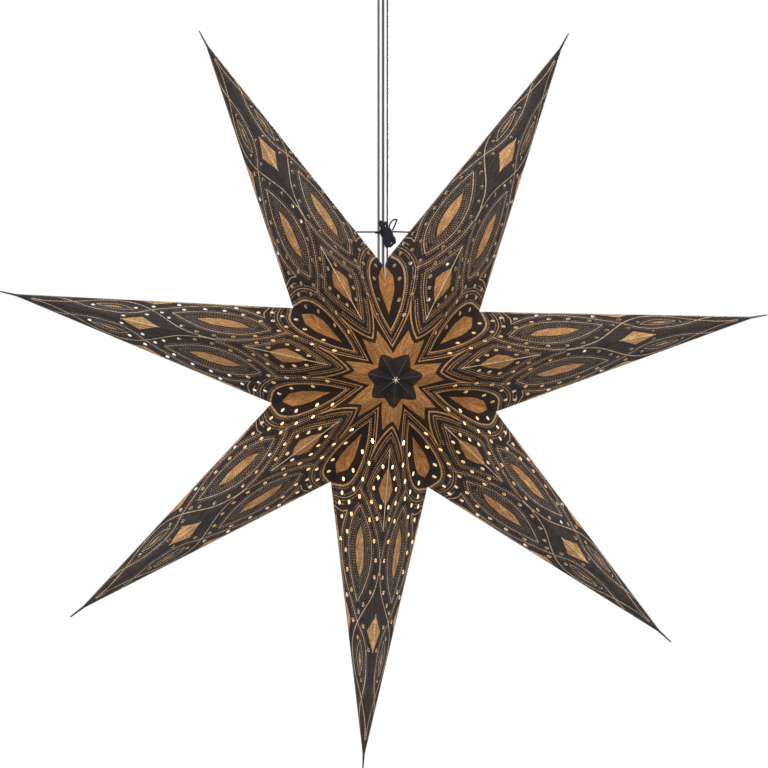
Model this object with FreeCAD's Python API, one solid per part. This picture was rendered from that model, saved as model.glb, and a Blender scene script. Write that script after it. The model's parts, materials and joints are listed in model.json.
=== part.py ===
import FreeCAD, Part
import math
import os

V = FreeCAD.Vector

# A seven-pointed star lantern, glued up from seven folded card arms and hung on its lamp flex.
# All sizes are in millimetres. +Z is up and the face that is looked at points to -Y.
# The origin is on the ceiling, in the middle of the plate that is screwed to it.

# Star
STAR_DROP = 290.0            # ceiling down to the middle of the star
TIP_REACH = 250.0            # middle of the star to the end of each arm
NOTCH_REACH = 74.0           # middle of the star to the notch between two arms
APEX_DEPTH = 75.0            # middle of the star to its front point, and to its back point
ARM_SPREADS = (53.0, 52.0, 52.0, 49.5, 50.0, 49.5, 48.5)   # degrees each arm is opened, clockwise
SEAM_DIRECTION = 91.2        # degrees from +X to the seam, where the closed ring of arms is tied
CARD = 0.45                  # thickness of the card
GLUE_FLAP = 8.0              # width of the flaps that glue each arm to the next
FLAP_START = 14.0            # how far from a point of the star its flaps begin
MITRE_GAP = 0.3              # half the slit between the front and the back flap at a notch

# Pinched end of each arm
TAIL_LENGTH = 11.0
TAIL_HALF_WIDTH = 0.75
TAIL_END_HALF_DEPTH = 2.2

# Round holes punched through the card, in rows on each half of the front and the back of an arm.
# The rows are drawn on a flat half face: the first size runs from the middle of the star along
# the ridge, and the second from the ridge towards the valley.
PUNCH_RADIUS = 1.5
SHEET_LENGTH = 261.0         # drawn length of the ridge
SHEET_NOTCH = (85.0, 61.7)   # where the notch lies on the drawn half face
PUNCHED_ROWS = (             # number of holes, then the start, the bend and the end of the row
    (3, (55.3, 29.6), (73.3, 37.1), (78.9, 47.9)),
    (5, (45.3, 19.5), (78.4, 19.3), (88.2, 48.3)),
    (3, (84.6, 28.6), (93.4, 39.8), (95.3, 50.2)),
    (6, (98.6, 35.9), (130.4, 47.6), (158.9, 19.3)),
    (6, (96.1, 15.6), (126.5, -5.7), (152.6, 14.9)),
    (3, (58.0, 6.0), (66.5, 10.2), (74.5, 13.9)),
    (2, (84.2, 4.9), (84.2, 10.0), (84.0, 15.0)),
    (2, (103.3, 46.1), (110.5, 46.6), (118.0, 45.6)),
    (2, (152.2, 33.4), (159.0, 29.0), (166.2, 24.3)),
    (2, (166.6, 12.7), (171.0, 15.4), (175.9, 17.8)),
    (2, (92.8, 7.6), (136.0, -1.0), (179.8, 4.8)),
    (1, (202.0, 10.0), (202.0, 10.0), (202.0, 10.0)),
)

# Seam, which the tied string leaves open where the flex goes in
SEAM_CLOSED_REACH = 62.0     # middle of the star to where the closed part of the seam ends
SEAM_BEND_REACH = 73.0       # where the two edges begin to stand apart
SEAM_BEND_HALF_GAP = 1.0
SEAM_NOTCH_REACH = 78.5
SEAM_NOTCH_HALF_GAP = 4.5

# Lamp flex, two round cores side by side
CORE_RADIUS = 1.85
CORE_HALF_SPACING = 1.75
FLEX_OFFSET = -1.5           # the flex hangs this far to the side of the middle

# Lamp
HOLDER_TOP = 40.0            # above the middle of the star
HOLDER_LENGTH = 46.0
HOLDER_RADIUS = 15.0
HOLDER_NECK_RADIUS = 6.5
HOLDER_NECK_LENGTH = 9.0
HOLDER_SHOULDER = 7.0
HOLDER_RIM_RADIUS = 17.0
HOLDER_RIM_LENGTH = 6.0
BULB_RADIUS = 20.0
BULB_NECK_RADIUS = 11.5
BULB_DROP = 23.0             # holder's mouth down to the middle of the globe
BULB_CLEARANCE = 0.5

# Tie string
STRING_RADIUS = 0.5
STRING_HEIGHT = 93.5         # above the middle of the star
STRING_HOLE_RADIUS = 0.9
END_KNOT_RADIUS = 1.6
END_KNOT_INSET = 3.5         # from the fold of the arm to the knot inside it
KNOT_HALF_WIDTH = 4.6
KNOT_HALF_HEIGHT = 7.6
KNOT_HALF_DEPTH = 2.8
KNOT_OFFSET = 3.2            # the knot sits this far to the side of the flex
LOOP_RADIUS = 3.1
FLEX_CLEARANCE = 0.05

# Ceiling fitting
PLATE_RADIUS = 24.0
PLATE_THICKNESS = 2.0
PLATE_HOLE_SPACING = 32.0
PLATE_HOLE_RADIUS = 2.2
PLATE_WIRE_HOLE_RADIUS = 8.0
CUP_WALL = 1.6
CUP_DEPTH = 24.0
CUP_CLEARANCE = 0.1
CUP_CORNER = 8.0
GRIP_RADIUS = 6.0
GRIP_FLANGE_RADIUS = 8.5
GRIP_FLANGE = 3.0
GRIP_LENGTH = 16.0
GRIP_NUT_LENGTH = 4.0
GRIP_CLEARANCE = 0.05
FLEX_END_ABOVE_GRIP = 4.0

ARM_COUNT = len(ARM_SPREADS)
SEAM_GAP_ANGLE = 360.0 - sum(ARM_SPREADS)


def star_point(reach, angle, depth, aside=0.0):
    """A point by its reach from the middle, its direction in degrees and its depth."""
    a = math.radians(angle)
    x = reach * math.cos(a) - aside * math.sin(a)
    z = reach * math.sin(a) + aside * math.cos(a)
    return V(x, depth, z - STAR_DROP)


def arm_directions():
    """The direction of every arm, clockwise from the seam."""
    directions = []
    edge = SEAM_DIRECTION - SEAM_GAP_ANGLE / 2.0
    for spread in ARM_SPREADS:
        directions.append(edge - spread / 2.0)
        edge -= spread
    return directions


def valley_depth(reach, notch_reach):
    return -APEX_DEPTH * (1.0 - reach / notch_reach)


def glued_valley(angle):
    """Front points of a glued valley, from the apex to the notch."""
    return [star_point(0.0, angle, -APEX_DEPTH), star_point(NOTCH_REACH, angle, 0.0)]


def seam_valley(side):
    """Front points of one edge of the seam. Side is +1 for the edge that lies anticlockwise."""
    points = [star_point(0.0, SEAM_DIRECTION, -APEX_DEPTH)]
    steps = ((SEAM_CLOSED_REACH, 0.0), (SEAM_BEND_REACH, SEAM_BEND_HALF_GAP),
             (SEAM_NOTCH_REACH, SEAM_NOTCH_HALF_GAP))
    for reach, half_gap in steps:
        depth = valley_depth(reach, SEAM_NOTCH_REACH)
        points.append(star_point(reach, SEAM_DIRECTION, depth, side * half_gap))
    return points


def flap_edge(start, end, full_end):
    """The inner edge of a glue flap that hangs on the valley line from start to end."""
    line = (end - start).normalize()
    inward = V(-line.x * line.y, line.x * line.x + line.z * line.z, -line.z * line.y)
    inward.normalize()
    first = start + line * FLAP_START + inward * GLUE_FLAP
    back_off = 0.0
    if full_end:
        rise = inward.y * GLUE_FLAP + MITRE_GAP
        back_off = rise / line.y
    return first, end - line * back_off + inward * GLUE_FLAP


def mirrored(point):
    return V(point.x, -point.y, point.z)


def solve_offset(normals, distance):
    """The smallest move that takes a point the given distance behind all of the planes."""
    rows = [[1e-5, 0.0, 0.0], [0.0, 1e-5, 0.0], [0.0, 0.0, 1e-5]]
    target = [0.0, 0.0, 0.0]
    for normal in normals:
        n = (normal.x, normal.y, normal.z)
        for i in range(3):
            target[i] -= distance * n[i]
            for j in range(3):
                rows[i][j] += n[i] * n[j]
    m = FreeCAD.Matrix(rows[0][0], rows[0][1], rows[0][2], 0, rows[1][0], rows[1][1], rows[1][2], 0,
                       rows[2][0], rows[2][1], rows[2][2], 0, 0, 0, 0, 1)
    return m.inverse().multiply(V(target[0], target[1], target[2]))


def triangle_face(a, b, c):
    return Part.Face(Part.makePolygon([a, b, c, a]))


def thickened(points, facets, thickness):
    """A closed solid of card from a folded sheet of triangles that face outwards."""
    normals = {name: [] for name in points}
    edges = {}
    for a, b, c in facets:
        normal = (points[b] - points[a]).cross(points[c] - points[a]).normalize()
        for name in (a, b, c):
            normals[name].append(normal)
        for edge in ((a, b), (b, c), (c, a)):
            edges[edge] = edges.get(edge, 0) + 1
    inner = {name: points[name] + solve_offset(normals[name], thickness) for name in points}
    faces = []
    for a, b, c in facets:
        faces.append(triangle_face(points[a], points[b], points[c]))
        faces.append(triangle_face(inner[a], inner[c], inner[b]))
    for a, b in edges:
        if (b, a) not in edges:
            faces.append(triangle_face(points[a], inner[a], points[b]))
            faces.append(triangle_face(points[b], inner[a], inner[b]))
    shell = Part.Shell(faces)
    shell.sewShape()
    solid = Part.Solid(shell)
    if solid.Volume < 0:
        solid.reverse()
    return solid.removeSplitter()


def arm_sheet(direction, sides):
    """The corners and the triangles of one arm. Sides holds its two valleys, glued on run one."""
    tail = TIP_REACH - TAIL_LENGTH
    ridge_depth = -APEX_DEPTH * TAIL_LENGTH / TIP_REACH
    points = {}
    facets = []
    for half, flip in (("front", False), ("back", True)):
        place = mirrored if flip else V
        points[half + "_apex"] = place(star_point(0.0, direction, -APEX_DEPTH))
        points[half + "_ridge"] = place(star_point(tail, direction, ridge_depth))
        points[half + "_tip"] = place(star_point(TIP_REACH, direction, -TAIL_END_HALF_DEPTH))
    for side, valley, sign in sides:
        fold = side + "_fold"
        tip = side + "_tip"
        points[side + "_notch"] = valley[-1]
        points[fold] = star_point(tail, direction, 0.0, sign * TAIL_HALF_WIDTH)
        points[tip] = star_point(TIP_REACH, direction, 0.0, sign * TAIL_HALF_WIDTH)
        for half, flip in (("front", False), ("back", True)):
            place = mirrored if flip else V
            names = [half + "_apex"]
            for k, point in enumerate(valley[1:-1]):
                names.append("%s_%s_valley_%d" % (half, side, k))
                points[names[-1]] = place(point)
            names.append(side + "_notch")
            ridge = half + "_ridge"
            ridge_tip = half + "_tip"
            facets += [(a, b, ridge) for a, b in zip(names, names[1:])]
            facets += [(names[-1], fold, ridge), (ridge, fold, tip), (ridge, tip, ridge_tip)]
            first, last = flap_edge(valley[0], valley[1], len(valley) == 2)
            flap = ["%s_%s_flap_%d" % (half, side, k) for k in range(2)]
            points[flap[0]], points[flap[1]] = place(first), place(last)
            facets += [(names[0], names[1], flap[1]), (names[0], flap[1], flap[0])]
    return points, facets


def outward(points, facets, direction):
    """The same triangles, each turned to look away from the middle line of the arm."""
    along = star_point(1.0, direction, 0.0) - star_point(0.0, direction, 0.0)
    middle = star_point(0.0, direction, 0.0)
    turned = []
    for a, b, c in facets:
        centre = (points[a] + points[b] + points[c]) * (1.0 / 3.0)
        foot = middle + along * (centre - middle).dot(along)
        normal = (points[b] - points[a]).cross(points[c] - points[a])
        turned.append((a, b, c) if normal.dot(centre - foot) > 0 else (a, c, b))
    return turned


def string_fold_point(side):
    """Where the string passes through the fold of the arm beside the seam."""
    arm = 0 if side < 0 else ARM_COUNT - 1
    notch = seam_valley(side)[-1]
    fold = star_point(TIP_REACH - TAIL_LENGTH, arm_directions()[arm], 0.0, -side * TAIL_HALF_WIDTH)
    share = (STRING_HEIGHT - STAR_DROP - notch.z) / (fold.z - notch.z)
    return notch + (fold - notch) * share


def row_places(count, start, bend, end):
    """Evenly stepped places on the curve of a row, on the drawn half face."""
    start, bend, end = (V(*place) for place in (start, bend, end))
    steps = [k / max(count - 1, 1) for k in range(count)]
    return [start * (1.0 - t) ** 2 + bend * (2.0 * t * (1.0 - t)) + end * t ** 2 for t in steps]


def punches(apex, notch, tip):
    """The punches for one half face, square to its card, from the face's three corners."""
    square = (notch - apex).cross(tip - apex).normalize()
    cuts = []
    for row in PUNCHED_ROWS:
        for place in row_places(*row):
            notch_share = place.y / SHEET_NOTCH[1]
            tip_share = (place.x - notch_share * SHEET_NOTCH[0]) / SHEET_LENGTH
            centre = apex + (notch - apex) * notch_share + (tip - apex) * tip_share
            start = centre - square * PUNCH_RADIUS
            cuts.append(Part.makeCylinder(PUNCH_RADIUS, 2.0 * PUNCH_RADIUS, start, square))
    return cuts


def arm_punches(direction, valleys):
    """The punches for all four half faces of an arm."""
    tip = star_point(TIP_REACH, direction, 0.0)
    cuts = []
    for valley in valleys:
        for apex in (valley[0], mirrored(valley[0])):
            cuts += punches(apex, valley[-1], tip)
    return cuts


def make_arm(index):
    """One folded and punched card arm, with the string's hole where it stands beside the seam."""
    direction = arm_directions()[index]
    half = ARM_SPREADS[index] / 2.0
    anticlockwise = glued_valley(direction + half)
    clockwise = glued_valley(direction - half)
    hole_side = 0
    if index == 0:
        anticlockwise = seam_valley(-1)
        hole_side = -1
    if index == ARM_COUNT - 1:
        clockwise = seam_valley(1)
        hole_side = 1
    sides = (("left", anticlockwise, 1), ("right", clockwise, -1))
    points, facets = arm_sheet(direction, sides)
    arm = thickened(points, outward(points, facets, direction), CARD)
    arm = arm.cut(Part.makeCompound(arm_punches(direction, (anticlockwise, clockwise))))
    if hole_side:
        fold = string_fold_point(hole_side)
        length = 2.0 * END_KNOT_INSET
        start = V(fold.x - length / 2.0, fold.y, fold.z)
        arm = arm.cut(Part.makeCylinder(STRING_HOLE_RADIUS, length, start, V(1, 0, 0)))
    return arm


def turned_solid(profile, centre):
    """A solid turned about the upright line through the centre, from radius and height pairs."""
    corners = [V(centre.x + r, centre.y, centre.z + h) for r, h in profile]
    face = Part.Face(Part.makePolygon(corners + [corners[0]]))
    return face.revolve(centre, V(0, 0, 1), 360)


def flex_centre(height):
    """A point on the flex, by its height above the middle of the star."""
    return V(FLEX_OFFSET, 0.0, height - STAR_DROP)


def flex_shape(low, high, swell=0.0):
    """The flex between two heights, or the hole that takes it with a clearance."""
    parts = []
    for side in (-1, 1):
        base = V(FLEX_OFFSET + side * CORE_HALF_SPACING, 0.0, low)
        parts.append(Part.makeCylinder(CORE_RADIUS + swell, high - low, base))
    return parts[0].fuse(parts[1]).removeSplitter()


def cup_floor():
    """The height of the underside of the ceiling cup."""
    return -CUP_DEPTH


def grip_top():
    return cup_floor() - GRIP_FLANGE + GRIP_LENGTH


def make_flex():
    low = HOLDER_TOP - STAR_DROP
    return flex_shape(low, grip_top() + FLEX_END_ABOVE_GRIP)


def make_holder():
    """Lamp holder: a neck for the flex, a shoulder, a barrel and a rim round the mouth."""
    mouth = -HOLDER_LENGTH
    shoulder = -HOLDER_NECK_LENGTH - HOLDER_SHOULDER
    bore = BULB_NECK_RADIUS + BULB_CLEARANCE
    profile = [(0.0, 0.0), (HOLDER_NECK_RADIUS, 0.0), (HOLDER_NECK_RADIUS, -HOLDER_NECK_LENGTH),
               (HOLDER_RADIUS, shoulder), (HOLDER_RADIUS, mouth + HOLDER_RIM_LENGTH),
               (HOLDER_RIM_RADIUS, mouth + HOLDER_RIM_LENGTH), (HOLDER_RIM_RADIUS, mouth),
               (bore, mouth), (bore, shoulder - HOLDER_SHOULDER / 2.0),
               (0.0, shoulder - HOLDER_SHOULDER / 2.0)]
    return turned_solid(profile, flex_centre(HOLDER_TOP))


def make_bulb():
    """Frosted globe bulb with its neck screwed up to the floor of the holder."""
    mouth = HOLDER_TOP - HOLDER_LENGTH
    top = HOLDER_TOP - HOLDER_NECK_LENGTH - 1.5 * HOLDER_SHOULDER
    globe_centre = flex_centre(mouth - BULB_DROP)
    globe = Part.makeSphere(BULB_RADIUS, globe_centre)
    neck_length = top - (mouth - BULB_DROP)
    neck = Part.makeCylinder(BULB_NECK_RADIUS, neck_length, globe_centre)
    return globe.fuse(neck).removeSplitter()


def tube(points, radius):
    """A round string along straight runs with a ball at every joint."""
    solid = Part.makeSphere(radius, points[0])
    for start, end in zip(points, points[1:]):
        run = end - start
        solid = solid.fuse(Part.makeCylinder(radius, run.Length, start, run))
        solid = solid.fuse(Part.makeSphere(radius, end))
    return solid


def make_string():
    """The string that ties the seam shut round the flex, with its knot, its loop and its end."""
    front = -(CORE_RADIUS + STRING_RADIUS + FLEX_CLEARANCE)
    reach = CORE_HALF_SPACING + CORE_RADIUS + STRING_RADIUS + FLEX_CLEARANCE
    flex = flex_centre(STRING_HEIGHT)
    knot_depth = -(CORE_RADIUS + FLEX_CLEARANCE + KNOT_HALF_DEPTH)
    knot = V(flex.x + KNOT_OFFSET, knot_depth, flex.z)
    left, right = string_fold_point(1), string_fold_point(-1)
    left_end = left - V(END_KNOT_INSET, 0, 0)
    right_end = right + V(END_KNOT_INSET, 0, 0)
    turn = [V(flex.x + side * reach, depth, flex.z - STRING_RADIUS)
            for side, depth in ((-1, front), (-1, -front), (1, -front), (1, front))]
    body = Part.makeSphere(1.0, V(0, 0, 0))
    stretch = FreeCAD.Matrix(KNOT_HALF_WIDTH, 0, 0, knot.x, 0, KNOT_HALF_DEPTH, 0, knot.y,
                             0, 0, KNOT_HALF_HEIGHT, knot.z, 0, 0, 0, 1)
    body = body.transformGeometry(stretch)
    string = tube([left_end, left, V(flex.x - reach, front, flex.z), knot], STRING_RADIUS)
    right_run = [right_end, right, V(flex.x + reach, front, flex.z), knot]
    string = string.fuse(tube(right_run, STRING_RADIUS))
    string = string.fuse(tube(turn + [turn[0]], STRING_RADIUS))
    string = string.fuse(body)
    loop = V(knot.x + KNOT_HALF_WIDTH, knot.y, knot.z + KNOT_HALF_HEIGHT)
    string = string.fuse(Part.makeTorus(LOOP_RADIUS, STRING_RADIUS, loop, V(0, 1, 0)))
    for end in (left_end, right_end):
        string = string.fuse(Part.makeSphere(END_KNOT_RADIUS, end))
    return string.removeSplitter()


def make_plate():
    """The plate that two screws hold to the ceiling, with a hole for the wires."""
    plate = Part.makeCylinder(PLATE_RADIUS, PLATE_THICKNESS, V(0, 0, -PLATE_THICKNESS))
    holes = [(PLATE_HOLE_RADIUS, side * PLATE_HOLE_SPACING / 2.0) for side in (-1, 1)]
    holes.append((PLATE_WIRE_HOLE_RADIUS, 0.0))
    for radius, x in holes:
        plate = plate.cut(Part.makeCylinder(radius, PLATE_THICKNESS, V(x, 0, -PLATE_THICKNESS)))
    return plate


def make_cup():
    """The cup that hides the plate, with a rounded lower edge and a hole for the grip."""
    radius = PLATE_RADIUS + CUP_CLEARANCE + CUP_WALL
    outer = Part.makeCylinder(radius, CUP_DEPTH, V(0, 0, -CUP_DEPTH))
    inner = Part.makeCylinder(radius - CUP_WALL, CUP_DEPTH - CUP_WALL, V(0, 0, CUP_WALL - CUP_DEPTH))
    lower = [e for e in outer.Edges if abs(e.BoundBox.ZMax + CUP_DEPTH) < 1e-6]
    floor = [e for e in inner.Edges if abs(e.BoundBox.ZMax + CUP_DEPTH - CUP_WALL) < 1e-6]
    outer = outer.makeFillet(CUP_CORNER, lower)
    inner = inner.makeFillet(CUP_CORNER - CUP_WALL, floor)
    hole = Part.makeCylinder(GRIP_RADIUS + GRIP_CLEARANCE, CUP_DEPTH, V(FLEX_OFFSET, 0, -CUP_DEPTH))
    return outer.cut(inner).cut(hole)


def make_grip():
    """The grip that holds the flex in the floor of the cup, between its flange and its nut."""
    bottom = cup_floor() - GRIP_FLANGE
    axis = V(FLEX_OFFSET, 0, bottom)
    grip = Part.makeCylinder(GRIP_RADIUS, GRIP_LENGTH, axis)
    grip = grip.fuse(Part.makeCylinder(GRIP_FLANGE_RADIUS, GRIP_FLANGE, axis))
    nut = V(FLEX_OFFSET, 0, cup_floor() + CUP_WALL)
    grip = grip.fuse(Part.makeCylinder(GRIP_FLANGE_RADIUS, GRIP_NUT_LENGTH, nut))
    return grip.cut(flex_shape(bottom, bottom + GRIP_LENGTH, GRIP_CLEARANCE)).removeSplitter()


def main():
    os.makedirs("parts", exist_ok=True)
    nodes = {"arm_%d" % (k + 1): make_arm(k) for k in range(ARM_COUNT)}
    nodes["tie_string"] = make_string()
    nodes["lamp_flex"] = make_flex()
    nodes["lamp_holder"] = make_holder()
    nodes["lamp_bulb"] = make_bulb()
    nodes["ceiling_plate"] = make_plate()
    nodes["ceiling_cup"] = make_cup()
    nodes["cord_grip"] = make_grip()
    for name, shape in nodes.items():
        shape.exportStep("parts/%s.step" % name)
        print(name, len(shape.Solids), shape.isValid(), round(shape.Volume, 1))


main()
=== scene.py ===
import json
import math

import bpy
import numpy as np
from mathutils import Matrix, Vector
from mathutils.geometry import delaunay_2d_cdt

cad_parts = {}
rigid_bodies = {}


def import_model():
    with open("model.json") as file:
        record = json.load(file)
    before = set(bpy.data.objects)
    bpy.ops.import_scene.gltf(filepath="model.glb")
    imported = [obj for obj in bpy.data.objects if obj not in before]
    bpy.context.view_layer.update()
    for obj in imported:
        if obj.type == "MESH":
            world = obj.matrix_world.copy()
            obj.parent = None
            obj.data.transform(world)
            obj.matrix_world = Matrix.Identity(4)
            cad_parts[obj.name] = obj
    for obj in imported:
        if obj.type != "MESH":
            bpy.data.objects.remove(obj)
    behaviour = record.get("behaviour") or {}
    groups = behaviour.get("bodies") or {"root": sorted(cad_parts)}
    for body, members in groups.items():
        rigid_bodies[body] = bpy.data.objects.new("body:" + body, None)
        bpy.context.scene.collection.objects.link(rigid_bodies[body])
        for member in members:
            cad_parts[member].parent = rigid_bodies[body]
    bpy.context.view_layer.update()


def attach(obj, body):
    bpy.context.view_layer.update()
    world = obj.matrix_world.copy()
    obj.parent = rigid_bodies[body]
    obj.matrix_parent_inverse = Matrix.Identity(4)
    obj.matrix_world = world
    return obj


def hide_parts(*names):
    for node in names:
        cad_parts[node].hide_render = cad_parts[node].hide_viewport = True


# The folded paper star, dressed. Metres, +Z up, the printed face that is looked at turned to -Y.
# The print is laid out flat, in millimetres, on one half of one side of an arm: x runs along the
# ridge from the middle of the star and y from the ridge to the valley and the side fold.

MM = 0.001

# Star, as in the frame
STAR_DROP = 0.290
TIP_REACH = 0.250
NOTCH_REACH = 0.074
APEX_DEPTH = 0.075
ARM_SPREADS = (53.0, 52.0, 52.0, 49.5, 50.0, 49.5, 48.5)
SEAM_DIRECTION = 91.2
CARD = 0.00045
GLUE_FLAP = 0.008
FLAP_START = 0.014
MITRE_GAP = 0.0003           # half the slit between the front and the back flap at a notch
TAIL_LENGTH = 0.011
TAIL_HALF_WIDTH = 0.00075
TAIL_TIP_HALF_WIDTH = 0.0004
TAIL_END_HALF_DEPTH = 0.0022
SEAM_REACHES = (0.062, 0.073, 0.0785)
SEAM_HALF_GAPS = (0.0, 0.001, 0.0045)

# Lamp flex
FLEX_OFFSET = -0.0015
FLEX_LOW = -0.250
FLEX_HIGH = -0.007
FLEX_ROUTE = [(FLEX_OFFSET, 0.0, z) for z in (FLEX_LOW, -0.205, -0.130, -0.050, FLEX_HIGH)]
ROUTE_RESOLUTION = 12
ROUTE_ORDER = 3
CORE_RADIUS = 0.00185
CORE_HALF_SPACING = 0.00175
# Painted shade of the white flex across one half of it, by the share of its half width: dark in the
# groove and towards the edges, white on the cores
FLEX_SHADE_GREYS = ((0.0, 0.06), (0.14, 0.07), (0.25, 0.80), (0.52, 0.86), (0.64, 0.10), (0.82, 0.08),
              (0.93, 0.50), (1.0, 0.60))

# Where the print begins to pale and where it is palest, as shares of an arm's length
PALING = (0.22, 0.60)

# The print's fine variation: noise cells to a millimetre along and across an arm
STREAKS = (0.12, 0.75, 1.0)
SPECKS = (0.85, 0.85, 1.0)
SPECK_SHARE = 1.1
NOISE_RANGE = (0.33, 0.67)   # what lies outside it has the full change
ARM_SHIFT = 14.8             # sets the arms apart in the noise

# Tie string
STRING_RADIUS = 0.0005
STRING_HEIGHT = 0.0935
STRING_END_INSET = 0.0035
# Places on the string, from the middle of the flex, and on its end knots, from the string's ends
STRING_WINDING = np.array([(-5.2, -1.6, 0.0), (-3.2, -2.5, 0.0), (0.0, -3.0, 0.2), (3.4, -2.5, 0.3),
                           (4.9, 0.0, 0.2), (2.6, 2.5, -0.3), (-2.6, 2.5, -0.5), (-4.9, 0.0, -0.4),
                           (-3.0, -2.6, -0.7), (0.5, -3.3, -0.6), (5.2, -1.4, 0.2)]) * MM
END_KNOT = np.array([(-1.2, 0.0, 0.5), (-0.2, 1.1, -0.6), (0.6, 0.2, 0.9), (-0.3, -1.1, -0.3),
                     (0.9, -0.2, -0.8), (0.2, 0.9, 0.6)]) * MM
END_KNOT_RADIUS = 0.00075
STRING_SIDES = 10
TUBE_SIDE = (0.31, 0.83, 0.46)   # a way that no bit of the string runs
# The bow: for each of its bits of string, the places that it passes in millimetres from the middle
# of the flex, and its radius
BOW = (
    ([(-1.4, -3.6, 2.2), (0.6, -5.0, 2.6), (3.9, -4.4, 1.6), (4.6, -3.4, 0.4)], 0.8),
    ([(-1.8, -3.6, 0.9), (0.8, -5.4, 1.2), (4.2, -4.9, 0.2), (5.4, -3.6, -0.9)], 0.85),
    ([(-1.6, -3.6, -0.6), (1.2, -5.6, -0.3), (4.6, -5.0, -1.2), (5.8, -3.6, -2.3)], 0.85),
    ([(-1.2, -3.4, -2.0), (1.4, -5.2, -1.8), (4.8, -4.8, -2.6), (6.0, -3.4, -3.6)], 0.8),
    ([(0.2, -4.2, 1.0), (-1.6, -4.4, 3.6), (-2.5, -4.0, 6.0), (-1.2, -4.2, 6.3), (0.4, -4.6, 3.4)],
     0.75),
    ([(2.0, -4.4, 1.5), (2.2, -4.8, 4.4), (1.2, -4.6, 6.0), (0.2, -4.4, 4.0)], 0.7),
    ([(3.4, -4.4, 1.6), (4.2, -5.0, 5.2), (6.4, -5.2, 7.6), (8.2, -5.0, 7.4), (7.2, -4.6, 4.2),
      (5.6, -4.2, 0.8)], 0.5),
    ([(8.2, -5.0, 7.4), (8.9, -5.2, 7.9)], 0.5),
    ([(1.4, -4.6, -1.6), (0.8, -4.9, -5.2), (1.6, -4.8, -8.8), (3.4, -4.6, -8.6), (4.4, -4.8, -5.0),
      (4.0, -4.6, -1.4)], 0.85),
    ([(2.4, -5.4, -2.0), (2.2, -5.8, -5.4), (3.4, -5.6, -9.0), (5.4, -5.2, -8.2), (6.4, -5.2, -4.8),
      (5.0, -4.8, -1.8)], 0.85),
    ([(3.8, -4.0, -1.8), (5.0, -4.4, -5.0), (6.6, -4.4, -7.2), (7.3, -4.2, -6.0), (6.4, -4.0, -3.0)],
     0.8),
    ([(2.8, -4.6, -3.0), (3.0, -4.8, -6.2), (2.8, -4.4, -8.0)], 0.9),
)

# Flat half of one side of an arm, in millimetres from here to the holes
FLAT_NOTCH = (85.0, 61.7)
FLAT_RIDGE_END = 249.5
FLAT_LENGTH = 261.0
FLAT_FOLD_END = (250.4, 3.7)
FLAT_TAIL_END = 2.4
SEAM_SHARES = (0.79, 0.93)

# Widths of the gold lines
LINE_WIDTH = 0.8
LOOP_WIDTH = 1.35
BOLD_WIDTH = 1.1
THIN_WIDTH = 0.56

# Short dashes in rows
DASH_PITCH = 1.75
DASH_LENGTH = 0.95
DASH_WIDTH = 0.8
DASH_STEP = 1.85             # from a line to the row beside it
DASH_HOLE_GAP = 0.7          # from a hole to the nearest dash
DASHES_END = 222.0           # the tail end of an arm has lines alone

# Gold lines: each is a run of smooth stretches, given by the few points that it passes
OGEE_NEAR = [
    [(79.3, 29.3), (83.9, 21.9), (90.6, 15.3), (101.3, 7.3), (110.0, 3.2), (117.2, 1.3)],
    [(127.0, 0.9), (134.5, 2.3), (142.0, 4.9), (149.0, 8.8), (155.5, 13.1), (165.9, 19.5),
     (174.5, 22.6), (183.8, 22.9), (197.2, 18.6), (210.5, 10.6), (219.0, 6.0), (230.5, 1.6),
     (240.0, 0.6)],
]
OGEE_FAR = [
    [(98.6, 58.0), (99.9, 47.2), (97.5, 40.8)],
    [(97.5, 40.8), (107.9, 43.9), (117.2, 44.6), (130.6, 41.9), (143.9, 35.2), (154.5, 27.9),
     (165.9, 19.5), (173.0, 12.3), (181.2, 7.9), (190.5, 6.3), (201.2, 5.9), (210.5, 7.4),
     (222.0, 9.3), (234.0, 7.6), (246.0, 4.2)],
]
LOOP = [[(87.0, 66.0), (84.9, 54.9), (82.6, 45.9), (77.3, 38.6), (69.3, 32.6), (60.0, 28.3),
         (50.6, 25.4), (41.3, 23.9), (28.0, 24.2)]]
SECOND_LOOP = [[(92.4, 62.0), (91.7, 49.9), (89.3, 41.9), (84.6, 34.6), (79.3, 29.3)],
               [(79.3, 29.3), (70.5, 25.2), (63.0, 22.6), (55.6, 19.6)]]
THIRD_LOOP = [[(95.8, 60.0), (96.4, 50.5), (94.6, 44.6)]]
CHEVRON = [[(29.4, -1.0), (36.3, 6.6), (45.4, 13.9), (55.6, 19.6)],
           [(20.0, 16.4), (35.0, 16.0), (47.0, 16.6), (55.6, 19.6)]]
SECOND_CHEVRON = [[(33.0, -1.0), (39.4, 5.2), (47.4, 11.2), (56.5, 16.6)],
                  [(22.0, 19.0), (36.0, 18.5), (48.0, 19.4), (57.0, 22.4)]]
POINTED_FRAME = [[(43.0, -1.0), (54.0, 6.8), (65.0, 14.4), (76.6, 19.8)],
                 [(76.6, 19.8), (83.0, 12.8), (90.5, 6.0), (99.0, -0.6)]]
ALMOND_FRAME = [[(89.9, 27.3), (98.0, 33.2), (107.5, 36.1), (117.2, 36.3), (130.0, 33.6),
                 (142.5, 28.0), (153.0, 21.6)],
                [(89.9, 27.3), (97.0, 19.4), (106.0, 13.0), (117.2, 10.4), (129.0, 11.2),
                 (141.5, 15.6), (153.0, 21.6)]]
SMALL_FRAME = [[(176.5, 14.9), (183.5, 17.2), (190.5, 16.6), (200.5, 12.0)],
               [(176.5, 14.9), (184.0, 11.8), (192.0, 10.6), (200.5, 12.0)]]
FOLD_LINE = [[(101.0, 53.9), (138.0, 41.0), (176.0, 27.7)],
             [(187.0, 24.2), (214.0, 14.7), (240.0, 5.6)]]
FOLD_WEAR = [[(93.0, 58.9), (177.0, 29.44)]]

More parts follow.
